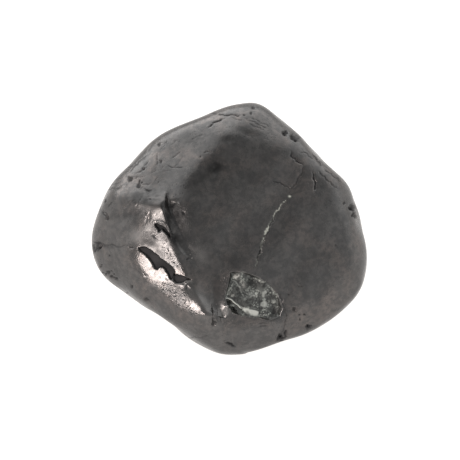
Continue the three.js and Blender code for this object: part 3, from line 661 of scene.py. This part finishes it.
def make_back_pits():
    """Pits of the sides and the back: radius, depth and centre."""
    numbers = number_stream(BACK_PIT_SEED)
    centres = form_points(np.array(seeded_directions(numbers, BACK_PIT_COUNT)))
    return [(within(BACK_PIT_RADIUS, next(numbers) ** 2), within(BACK_PIT_DEPTH, next(numbers)), centre)
            for centre in centres]


def make_back_cracks():
    """Wandering cracks: half width, depth, how dark and the chain of points that each one follows."""
    numbers = number_stream(BACK_CRACK_SEED)
    cracks = []
    for ray in seeded_directions(numbers, BACK_CRACK_COUNT):
        heading = unit(np.cross(ray, direction(360 * next(numbers), 180 * next(numbers)))[None])[0]
        chain = [ray]
        for _ in range(int(within(BACK_CRACK_STEPS, next(numbers)))):
            side = np.cross(chain[-1], heading)
            heading = heading + side * (next(numbers) - 0.5) * BACK_CRACK_STRAY
            chain.append(chain[-1] + heading * BACK_CRACK_STEP)
        half_width = within(BACK_CRACK_HALF_WIDTH, next(numbers))
        depth = within(BACK_CRACK_DEPTH, next(numbers))
        cracks.append((half_width, depth, PIT_DARK, form_points(np.array(chain))))
    return cracks


ALL_PITS = make_pits()
SCRATCHES = make_scratches()
BACK_PITS = make_back_pits()
BACK_CRACKS = make_back_cracks()
HOLLOW_PLACES = [(form_points(direction(around, lean)[None])[0], wide, deep)
                 for around, lean, wide, deep in HOLLOWS]


# ---- the chip ----

def chip_face_height(uv, count, slope, seed):
    """Small tilted planes: the highest of one set less the highest of another."""
    numbers = number_stream(seed)
    low, high = np.min(CHIP_OUTLINE, axis=0), np.max(CHIP_OUTLINE, axis=0)
    highest = [np.full(len(uv), -np.inf), np.full(len(uv), -np.inf)]
    for index in range(count):
        centre = low + (high - low) * [next(numbers), next(numbers)]
        slopes = slope * (2 * np.array([next(numbers), next(numbers)]) - 1)
        offset = uv - centre
        height = offset @ slopes - slope * np.linalg.norm(offset, axis=1)
        half = index * 2 // count
        highest[half] = np.maximum(highest[half], height)
    return highest[0] - highest[1]


def chip_relief(uv):
    """Height of the break's floor, how much of the chip each point has, and the painted shade of its holes.
    """
    share = smooth_step(depth_inside(uv, CHIP_OUTLINE) / CHIP_EDGE)
    height = -CHIP_DEPTH + (uv - np.mean(CHIP_OUTLINE, axis=0)) @ np.array(CHIP_SLOPE)
    for count, slope, kept, seed in CHIP_FACES:
        height -= kept * chip_face_height(uv, count, slope, seed)
    half_width, high, path = CHIP_RIDGE
    height += high * groove(uv, half_width, path)
    half_width, deep, path = CHIP_SLOT
    slot = groove(uv, half_width, path)
    height -= deep * slot
    *place, deep = CHIP_POCKET
    pocket = oval(uv, *place)
    height -= deep * pocket
    return share * height, share, share * np.maximum(slot, pocket)


# ---- the whole relief ----

def face_share(normals):
    """How much of the face's own detail applies: all of it in front, none well behind the rim."""
    none, whole = -0.1, 0.2
    return smooth_step((normals[:, 2] - none) / (whole - none))


# The finish's shares: darkness in cracks, hollows and dark patches is partly painted shade, and bright
# patches are painted sheen.
SHARES = ("crevice_dull_and_shade", "vein", "chip", "pale", "stain_and_shade", "painted_sheen", "grain")


def face_relief(uv):
    """Height of the face's detail, with the shares of each kind of finish."""
    height = np.zeros(len(uv))
    finish = {name: np.zeros(len(uv)) for name in SHARES}
    strayed, strayed_little = wander(uv), wander(uv, EDGE_WANDER)

    def show(kind, share, at=slice(None)):
        finish[kind][at] = np.maximum(finish[kind][at], share)

    near = boxed(uv, np.array(CHANNEL)[:, :2], CHANNEL_REACH)
    distance, side, written, _ = nearest_on_path(uv[near], CHANNEL)
    wall = np.where(side > 0, written[:, 3], written[:, 2])      # it runs down: its left is at the right
    height[near] -= written[:, 0] * smooth_step(1 - (distance - written[:, 1]) / wall)
    half_width, depth, path = CREST_WEAR
    height -= depth * groove(uv, half_width, path)

    dig(strayed, height, finish["crevice_dull_and_shade"], CRACKS, ALL_PITS)
    dig(strayed_little, height, finish["crevice_dull_and_shade"], SCRATCHES, [])
    for half_width, high, path in LIPS.values():
        raised = groove(strayed, half_width, path)
        height += high * raised
        # painted sheen on the lips
        show("painted_sheen", raised)
    for depth, edge, outline in RECESSES.values():
        sunk = opening(strayed_little, outline, edge)
        height -= depth * sunk
        # the openings' insides are painted dark with shade
        show("crevice_dull_and_shade", sunk)
    for *place, depth in DENTS.values():
        height -= depth * oval(uv, *place)
    # dark patches of dull stains and painted shade, and patches of painted sheen
    for kind, ovals in [("stain_and_shade", STAINS_AND_SHADE), ("painted_sheen", PAINTED_SHEEN_PATCHES)]:
        for *place, strength in ovals:
            show(kind, strength * oval(strayed, *place))
    for outline in GRAINY.values():
        show("grain", opening(uv, outline, GRAINY_EDGE))

    near = boxed(strayed_little, CHIP_OUTLINE)
    chip_height, chip, holes = chip_relief(strayed_little[near])
    height[near] += chip_height
    show("chip", chip, near)
    # painted shade on the dark parts of the chip and in its holes
    for *place, dark in DARK_PATCHES:
        holes = np.maximum(holes, chip * dark * oval(strayed_little[near], *place))
    show("crevice_dull_and_shade", CHIP_HOLES_DARK * holes, near)
    for pale, outline in PALE_PATCHES:
        show("pale", pale * opening(strayed_little, outline, PALE_EDGE))
    for half_width, pale, path in PALE_LINES:
        show("pale", pale * groove(strayed_little, half_width, path))

    outline, slopes, deep = GLINT
    near = boxed(strayed_little, outline)
    on_face = opening(strayed_little[near], outline, GLINT_EDGE)
    plane = (strayed_little[near] - np.mean(outline, axis=0)) @ slopes - deep
    height[near] += on_face * (plane - height[near])
    # painted sheen on the glint face
    show("painted_sheen", GLINT_SHEEN * on_face, near)
    finish["chip"][near] *= 1 - on_face

    near = boxed(strayed, np.array(VEIN)[:, :2], VEIN_REACH)
    distance, _, written, _ = nearest_on_path(strayed[near], VEIN)
    show("vein", smooth_step(VEIN_EDGE * (1 - distance / written[:, 0])), near)
    radius, pale, centre = CRYSTAL
    show("vein", pale * oval(uv, *centre, radius, radius, 0))
    height -= VEIN_DEPTH * np.minimum(1, finish["vein"])
    return height, finish


def relief(points, normals):
    """Height over the plain form, with the shares that the finish reads."""
    share = face_share(normals)
    height = np.zeros(len(points))
    front, behind = np.flatnonzero(share > 0), np.flatnonzero(share < 1)
    face_height, finish = face_relief(points[front, :2])
    height[front] += share[front] * face_height
    shares = {name: np.zeros(len(points)) for name in SHARES}
    for name, values in finish.items():
        shares[name][front] = share[front] * values
    back_height, dark = np.zeros(len(behind)), np.zeros(len(behind))
    dig(points[behind], back_height, dark, BACK_CRACKS, BACK_PITS)
    height[behind] += (1 - share[behind]) * back_height
    shares["crevice_dull_and_shade"][behind] = np.maximum(shares["crevice_dull_and_shade"][behind], (1 - share[behind]) * dark)
    for centre, radius, depth in HOLLOW_PLACES:
        height -= depth * np.exp(-(np.linalg.norm(points - centre, axis=1) / radius) ** 2)
    for wave, shift, high in SWELLS:
        height += high * np.sin(points @ np.array(wave) + shift)
    return height, shares


def stone_surface(rays):
    """Points of the finished stone along the rays, and the shares that its finish reads."""
    points, normals = form_points(rays), form_normals(rays)
    above_ground = BASE_HEIGHT - points @ DOWN
    height, shares = relief(points, normals)
    height *= smooth_step(above_ground / FLAT_BLEND)
    return points + normals * height[:, None], shares


# ---- mesh ----

def feature_distance(points):
    """Distance from each point to the nearest fine feature of the face or the back, up to a reach."""
    reach = BACK_EDGE / EDGE_GROWTH
    gap = np.full(len(points), reach)

    def gap_to(places, paths, pits):
        nearest = np.full(len(places), reach)
        for path in paths:
            near = boxed(places, path, reach)
            nearest[near] = np.minimum(nearest[near], nearest_on_path(places[near], path)[0])
        for radius, _, centre in pits:
            nearest = np.minimum(nearest, np.linalg.norm(places - centre, axis=1) - radius)
        return nearest

    front, back = np.flatnonzero(points[:, 2] > 0), np.flatnonzero(points[:, 2] <= 0)
    uv = wander(points[front, :2])
    paths = [row[-1] for table in (CRACKS, LIPS.values(), SCRATCHES) for row in table]
    paths += [np.array(CHANNEL)[:, :2], np.array(VEIN)[:, :2]]
    nearest = gap_to(uv, paths, ALL_PITS + [CRYSTAL])
    for outline in [CHIP_OUTLINE, GLINT[0]] + [row[-1] for row in RECESSES.values()]:
        near = boxed(uv, outline, reach)
        nearest[near] = np.minimum(nearest[near], -depth_inside(uv[near], outline))
    gap[front] = nearest
    gap[back] = gap_to(points[back], [row[-1] for row in BACK_CRACKS], BACK_PITS)
    return np.maximum(0, gap)


def wanted_edge(points):
    coarse = np.where(points[:, 2] > 0, FACE_EDGE, BACK_EDGE)
    return np.minimum(coarse, FINE_EDGE + EDGE_GROWTH * feature_distance(points))


def refine(rays, triangles):
    """Splits every edge that is too long, a triangle's longest one first."""
    for _ in range(REFINE_ROUNDS):
        points = stone_surface(rays)[0]
        corners = points[triangles]
        lengths = np.linalg.norm(corners - np.roll(corners, -1, axis=1), axis=2)
        order = (np.argmax(lengths, axis=1)[:, None] + np.arange(3)) % 3
        triangles = np.take_along_axis(triangles, order, axis=1)

        ends = np.sort(np.stack([triangles, np.roll(triangles, -1, axis=1)], axis=2).reshape(-1, 2), axis=1)
        edges, edge_of = np.unique(ends, axis=0, return_inverse=True)
        edge_of = edge_of.reshape(-1, 3)
        middles = points[edges].mean(axis=1)
        edge_lengths = np.linalg.norm(points[edges[:, 0]] - points[edges[:, 1]], axis=1)
        split = edge_lengths > wanted_edge(middles)
        needed = split[edge_of].any(axis=1) & ~split[edge_of[:, 0]]
        while needed.any():
            split[edge_of[needed, 0]] = True
            needed = split[edge_of].any(axis=1) & ~split[edge_of[:, 0]]
        if not split.any():
            break
        middle_of = np.full(len(edges), -1)
        middle_of[split] = len(rays) + np.arange(split.sum())
        rays = np.concatenate([rays, unit(rays[edges[split]].sum(axis=1))])

        halved = middle_of[edge_of[:, 0]] >= 0
        a, b, c = triangles[halved].T
        middle = middle_of[edge_of[halved, 0]]
        halves = np.concatenate([np.stack([c, a, middle], axis=1), np.stack([b, c, middle], axis=1)])
        outer = middle_of[np.concatenate([edge_of[halved, 2], edge_of[halved, 1]])]
        again = outer >= 0
        a, b, c = halves[again].T
        quarters = [np.stack([c, a, outer[again]], axis=1), np.stack([b, c, outer[again]], axis=1)]
        triangles = np.concatenate([triangles[~halved], halves[~again]] + quarters)
    return rays, triangles


def start_ball():
    ball = bmesh.new()
    bmesh.ops.create_icosphere(ball, subdivisions=START_SUBDIVISIONS, radius=1)
    rays = np.array([vertex.co for vertex in ball.verts])
    triangles = np.array([[vertex.index for vertex in face.verts] for face in ball.faces])
    ball.free()
    return unit(rays), triangles


def to_row_frame(points):
    """Turns points of the broad face's own frame to the part's, +Z up."""
    cos, sin = math.cos(math.radians(FACE_TILT)), math.sin(math.radians(FACE_TILT))
    u, v, w = points.T
    return np.stack([u, v * sin - w * cos, v * cos + w * sin], axis=1)


def make_stone():
    rays, triangles = refine(*start_ball())
    points, shares = stone_surface(rays)
    places = to_row_frame(points) * UNIT
    low, high = (np.array(corner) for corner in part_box("stone"))
    inner = (low + high) / 2 - (places.min(axis=0) + places.max(axis=0)) / 2
    inner[2] = low[2] + BASE_HEIGHT * UNIT
    mesh = bpy.data.meshes.new("polished_stone")
    mesh.from_pydata((places + inner).tolist(), [], triangles.tolist())
    mesh.shade_smooth()
    for name, values in shares.items():
        attribute = mesh.attributes.new(name, "FLOAT", "POINT")
        attribute.data.foreach_set("value", values)
    stone = bpy.data.objects.new("polished_stone", mesh)
    bpy.context.scene.collection.objects.link(stone)
    return stone, Vector(inner)


# ---- finish ----

GREY = (0.103, 0.100, 0.098, 1)            # polished shungite, how much it mirrors
WARM_GREY = (0.123, 0.111, 0.105, 1)
DARK_GREY = (0.066, 0.066, 0.066, 1)
# dark grey of dull stains, and of painted shade in the channel, the valley and beside the vein
STAIN_AND_SHADE = (0.016, 0.016, 0.016, 1)
# brighter grey of the painted sheen patches
SHEEN_GREY = (0.19, 0.185, 0.18, 1)
# near-black of painted shade in cracks, pits and openings, and of dull pores
CREVICE = (0.014, 0.014, 0.015, 1)
VEIN_PALE = (0.33, 0.34, 0.30, 1)
CHIP_DARK = (0.035, 0.037, 0.036, 1)
CHIP_GREY = (0.125, 0.130, 0.123, 1)
CHIP_SPECK = (0.44, 0.46, 0.42, 1)
# pale mineral of the break, and its painted glints
PALE_MINERAL_AND_GLINT = (0.64, 0.66, 0.61, 1)
EDGE_TINT = (0.68, 0.68, 0.68, 1)          # how little more it mirrors at a glancing angle

# Noise of the finish: scale, detail, roughness, distortion, the values that it rises between, and
# what it rises from and to.
NOISES = {
    "warm clouds": (220, 5, 0.62, 0.4, 0.42, 0.66, 0, 1),
    "dark blotches": (560, 5, 0.65, 0.6, 0.40, 0.68, 0, 0.7),
    "dark mottles": (1500, 3, 0.6, 0, 0.42, 0.62, 0, 0.6),
    "uneven stain": (1100, 3, 0.5, 0, 0.25, 0.6, 0.5, 1),
    "porous parts": (180, 2, 0.5, 0, 0.52, 0.70, 0, 0.5),
    "chip patches": (1100, 5, 0.7, 0.8, 0.38, 0.62, 0, 1),
    "speckled parts": (900, 4, 0.6, 0, 0.40, 0.66, 0, 1),
    "uneven pale and glint": (1300, 3, 0.5, 0, 0.3, 0.55, 0.45, 1),
    "broken vein": (1700, 2, 0.5, 0, 0.34, 0.54, 0, 1),
    "polish": (500, 4, 0.5, 0, 0.3, 0.7, 0.20, 0.31),
    "grainy parts": (240, 2, 0.5, 0, 0.40, 0.62, 0.35, 1.1),
}
PORE_SCALE, PORE_EDGES, PORE_DARK = 1900.0, (0.32, 0.14), 0.6
SPECK_SCALE, SPECK_EDGES = 5000.0, (0.50, 1.0)
CHIP_COVER, CREVICE_COVER, VEIN_SHADE = 0.85, 0.9, 0.6
METALLIC, METALLIC_PALE = 0.85, 0.1
CHIP_ROUGHER, CREVICE_ROUGHER, STAIN_AND_SHADE_ROUGHER, SHEEN_ROUGHER = 0.12, 0.35, 0.22, 0.08
# Bump: scale, detail, roughness and share of each noise, how much more grain where it is grainy,
# how deep the pores are, and the height of it all in metres.
RIPPLE = (700, 3, 0.5, 0.6)
GRAIN = (4200, 3, 0.6, 0.5)
GRAINIER = 1.2
PORE_BUMP = 0.5
BUMP_HEIGHT = 0.00006


class Nodes:
    """Short calls for building a node tree."""

    def __init__(self, tree):
        self.tree = tree

    def add(self, kind, inputs=None, **settings):
        node = self.tree.nodes.new(kind)
        for name, value in settings.items():
            setattr(node, name, value)
        for name, value in (inputs or {}).items():
            self.give(node.inputs[name], value)
        return node

    def give(self, socket, value):
        if isinstance(value, bpy.types.NodeSocket):
            self.tree.links.new(value, socket)
        else:
            socket.default_value = value

    def noise(self, where, scale, detail, roughness, distortion=0.0):
        inputs = {"Vector": where, "Scale": scale, "Detail": detail, "Roughness": roughness,
                  "Distortion": distortion}
        return self.add("ShaderNodeTexNoise", inputs).outputs["Fac"]

    def layer(self, where, name):
        """One of the noises of the finish."""
        *look, low, high, to_low, to_high = NOISES[name]
        return self.remap(self.noise(where, *look), low, high, to_low, to_high)

    def math(self, operation, first, second=0.0, third=0.0, clamp=False):
        inputs = {0: first, 1: second, 2: third}
        return self.add("ShaderNodeMath", inputs, operation=operation, use_clamp=clamp).outputs[0]

    def times(self, first, second):
        return self.math("MULTIPLY", first, second)

    def plus(self, first, second):
        return self.math("ADD", first, second)

    def remap(self, value, low, high, to_low=0.0, to_high=1.0):
        inputs = {"Value": value, "From Min": low, "From Max": high, "To Min": to_low, "To Max": to_high}
        return self.add("ShaderNodeMapRange", inputs, interpolation_type="SMOOTHSTEP").outputs[0]

    def mix(self, share, first, second):
        node = self.add("ShaderNodeMix", data_type="RGBA")
        for socket, value in zip([node.inputs[0], node.inputs[6], node.inputs[7]], [share, first, second]):
            self.give(socket, value)
        return node.outputs[2]

    def share(self, name):
        return self.add("ShaderNodeAttribute", attribute_name=name).outputs["Fac"]


def make_finish():
    """Semi-metallic polish: cloudy warm and cool greys, fine pores, pale vein, speckled chip, with painted
    shade in dark patches, cracks and hollows, and painted sheen and glints.
    """
    material = bpy.data.materials.new("polished_shungite")
    material.use_nodes = True
    nodes = Nodes(material.node_tree)
    times, plus, mix = nodes.times, nodes.plus, nodes.mix
    shader = material.node_tree.nodes["Principled BSDF"]
    where = nodes.add("ShaderNodeTexCoord").outputs["Object"]
    crevice_dull_and_shade, vein, chip, pale, stain_and_shade, painted_sheen, grain = (nodes.share(name) for name in SHARES)

    colour = mix(nodes.layer(where, "warm clouds"), GREY, WARM_GREY)
    colour = mix(nodes.layer(where, "dark blotches"), colour, DARK_GREY)
    colour = mix(nodes.layer(where, "dark mottles"), colour, DARK_GREY)
    # painted sheen: bright patches that stand in for highlights
    colour = mix(painted_sheen, colour, SHEEN_GREY)
    # dull stains and painted shade, darker and rougher
    stained_and_shaded = times(stain_and_shade, nodes.layer(where, "uneven stain"))
    colour = mix(stained_and_shaded, colour, STAIN_AND_SHADE)

    pores = nodes.add("ShaderNodeTexVoronoi", {"Vector": where, "Scale": PORE_SCALE}).outputs["Distance"]
    porous = nodes.math("ADD", nodes.layer(where, "porous parts"), grain, clamp=True)
    pore = times(nodes.remap(pores, *PORE_EDGES), porous)
    colour = mix(times(pore, PORE_DARK), colour, CREVICE)

    specks = nodes.add("ShaderNodeTexVoronoi", {"Vector": where, "Scale": SPECK_SCALE}).outputs["Color"]
    speck = nodes.remap(nodes.add("ShaderNodeSeparateColor", {"Color": specks}).outputs[0], *SPECK_EDGES)
    chip_colour = mix(nodes.layer(where, "chip patches"), CHIP_DARK, CHIP_GREY)
    chip_colour = mix(times(speck, nodes.layer(where, "speckled parts")), chip_colour, CHIP_SPECK)
    # pale mineral, with painted glints of the break
    paled = times(pale, nodes.layer(where, "uneven pale and glint"))
    chip_colour = mix(paled, chip_colour, PALE_MINERAL_AND_GLINT)
    colour = mix(times(chip, CHIP_COVER), colour, chip_colour)

    veined = nodes.math("MULTIPLY", vein, 1.0, clamp=True)
    colour = mix(times(veined, VEIN_SHADE), colour, STAIN_AND_SHADE)
    vein_pale = nodes.math("MULTIPLY", vein, nodes.layer(where, "broken vein"), clamp=True)
    colour = mix(vein_pale, colour, VEIN_PALE)
    # painted shade in cracks, pits and openings, with their duller floor
    colour = mix(times(crevice_dull_and_shade, CREVICE_COVER), colour, CREVICE)
    nodes.give(shader.inputs["Base Color"], colour)
    shader.inputs["Specular Tint"].default_value = EDGE_TINT

    pale_and_glint = nodes.math("MAXIMUM", vein_pale, times(chip, paled))
    nodes.give(shader.inputs["Metallic"], nodes.remap(pale_and_glint, 0, 1, METALLIC, METALLIC_PALE))
    rough = nodes.layer(where, "polish")
    for share, rougher in [(chip, CHIP_ROUGHER), (crevice_dull_and_shade, CREVICE_ROUGHER), (stained_and_shaded, STAIN_AND_SHADE_ROUGHER),
                           (painted_sheen, SHEEN_ROUGHER)]:
        rough = plus(rough, times(share, rougher))
    nodes.give(shader.inputs["Roughness"], rough)

    grainy = plus(nodes.layer(where, "grainy parts"), times(grain, GRAINIER))
    height = times(nodes.noise(where, *RIPPLE[:3]), RIPPLE[3])
    height = plus(height, times(times(nodes.noise(where, *GRAIN[:3]), grainy), GRAIN[3]))
    height = nodes.math("SUBTRACT", height, times(pore, PORE_BUMP))
    bump = nodes.add("ShaderNodeBump", {"Height": height, "Strength": 1.0, "Distance": BUMP_HEIGHT})
    nodes.give(shader.inputs["Normal"], bump.outputs["Normal"])
    return material


# ---- stage, lights and camera ----

PICTURE_WIDTH = 460 * 0.1455 * UNIT        # 460 pixels of 0.1455 mm, at the stone's middle
CAMERA_DISTANCE = 1.2
SENSOR = 36.0

FLOOR_SIZE = 4
PAPER_GREY = (0.3, 0.3, 0.3, 1)
PAPER_ROUGHNESS = 0.9
PAPER_GLOW = (1, 0.965, 0.935, 1)
PAPER_GLOW_STRENGTH = 0.9

# Soft banks of the tent: around, lean, the cosines from there at which they start and are whole,
# and how much brighter than the rest they are.
BANKS = {
    "upper left": (133, 98, 0.40, 0.85, 1.40),
    "upper left rim": (135, 128, 0.60, 1.0, 1.50),
    "top": (92, 100, 0.55, 1.0, 0.34),
    "upper right": (45, 95, 0.55, 1.0, 1.00),
    "right": (-30, 55, 0.55, 1.0, 0.40),
}
# The rest of it: the cosine from the line out of the broad face, and the brightness there.
TENT = [(-0.25, 1.2), (0.1, 0.63), (0.6, 0.47), (0.98, 0.43)]

# The warm window: how far it lies to the right, up and out, its distance, width and height.
WINDOW_TOWARDS = (-0.62, -0.34, 0.71)
WINDOW_DISTANCE = 0.4
WINDOW_SIZE = (0.10, 0.17)
WINDOW_ENERGY = 1.18
WINDOW_COLOUR = (1, 0.9, 0.86)


def along_face(*parts):
    """What lies so far right, up and out of the broad face, in the part's frame."""
    return Vector(to_row_frame(np.array([parts]))[0])


def aim(thing, place, target):
    thing.location = place
    thing.rotation_mode = "QUATERNION"
    thing.rotation_quaternion = (target - place).to_track_quat("-Z", "Y")


def make_camera(inner):
    data = bpy.data.cameras.new("camera")
    data.lens = SENSOR * CAMERA_DISTANCE / PICTURE_WIDTH
    data.sensor_width = SENSOR
    data.clip_start = 0.01
    camera = bpy.data.objects.new("camera", data)
    bpy.context.scene.collection.objects.link(camera)
    aim(camera, inner + along_face(0, 0, CAMERA_DISTANCE), inner)
    bpy.context.scene.camera = camera


def make_floor():
    bpy.ops.mesh.primitive_plane_add(size=FLOOR_SIZE)
    floor = bpy.context.object
    floor.name = "floor"
    material = bpy.data.materials.new("white_paper")
    material.use_nodes = True
    shader = material.node_tree.nodes["Principled BSDF"]
    shader.inputs["Base Color"].default_value = PAPER_GREY
    shader.inputs["Roughness"].default_value = PAPER_ROUGHNESS
    shader.inputs["Emission Color"].default_value = PAPER_GLOW
    shader.inputs["Emission Strength"].default_value = PAPER_GLOW_STRENGTH
    floor.data.materials.append(material)


def make_light_tent():
    """A soft tent around the stone: dim above the face, brighter to the sides and up left."""
    world = bpy.data.worlds.new("light_tent")
    bpy.context.scene.world = world
    world.use_nodes = True
    nodes = Nodes(world.node_tree)
    where = nodes.add("ShaderNodeTexCoord").outputs["Generated"]

    def towards(place):
        inputs = {0: where, 1: tuple(place)}
        return nodes.add("ShaderNodeVectorMath", inputs, operation="DOT_PRODUCT").outputs["Value"]

    half = nodes.math("MULTIPLY_ADD", towards(along_face(0, 0, 1)), 0.5, 0.5)
    ramp = nodes.add("ShaderNodeValToRGB", {"Fac": half})
    stops = ramp.color_ramp
    stops.interpolation = "EASE"
    for cosine, _ in TENT[1:-1]:
        stops.elements.new(cosine)
    for stop, (cosine, bright) in zip(stops.elements, TENT):
        stop.position, stop.color = (1 + cosine) / 2, (bright, bright, bright, 1)
    light = ramp.outputs["Color"]
    for around, lean, start, whole, bright in BANKS.values():
        bank = nodes.remap(towards(along_face(*direction(around, lean))), start, whole, 0.0, bright)
        light = nodes.add("ShaderNodeVectorMath", {0: light, 1: bank}, operation="ADD").outputs[0]
    nodes.give(world.node_tree.nodes["Background"].inputs["Color"], light)


def make_side_light(inner):
    """The small warm window, low on the left, that the lobe mirrors."""
    data = bpy.data.lights.new("warm_window", "AREA")
    data.shape = "RECTANGLE"
    data.size, data.size_y = WINDOW_SIZE
    data.energy = WINDOW_ENERGY
    data.color = WINDOW_COLOUR
    window = bpy.data.objects.new("warm_window", data)
    window.visible_camera = False
    bpy.context.scene.collection.objects.link(window)
    aim(window, inner + along_face(*WINDOW_TOWARDS).normalized() * WINDOW_DISTANCE, inner)


def main():
    scene = bpy.context.scene
    scene.view_settings.view_transform = "Standard"
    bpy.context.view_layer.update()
    stone, inner = make_stone()
    stone.data.materials.append(make_finish())
    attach(stone, "root")
    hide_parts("stone")
    make_floor()
    make_light_tent()
    make_side_light(inner)
    make_camera(inner)
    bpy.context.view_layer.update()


main()
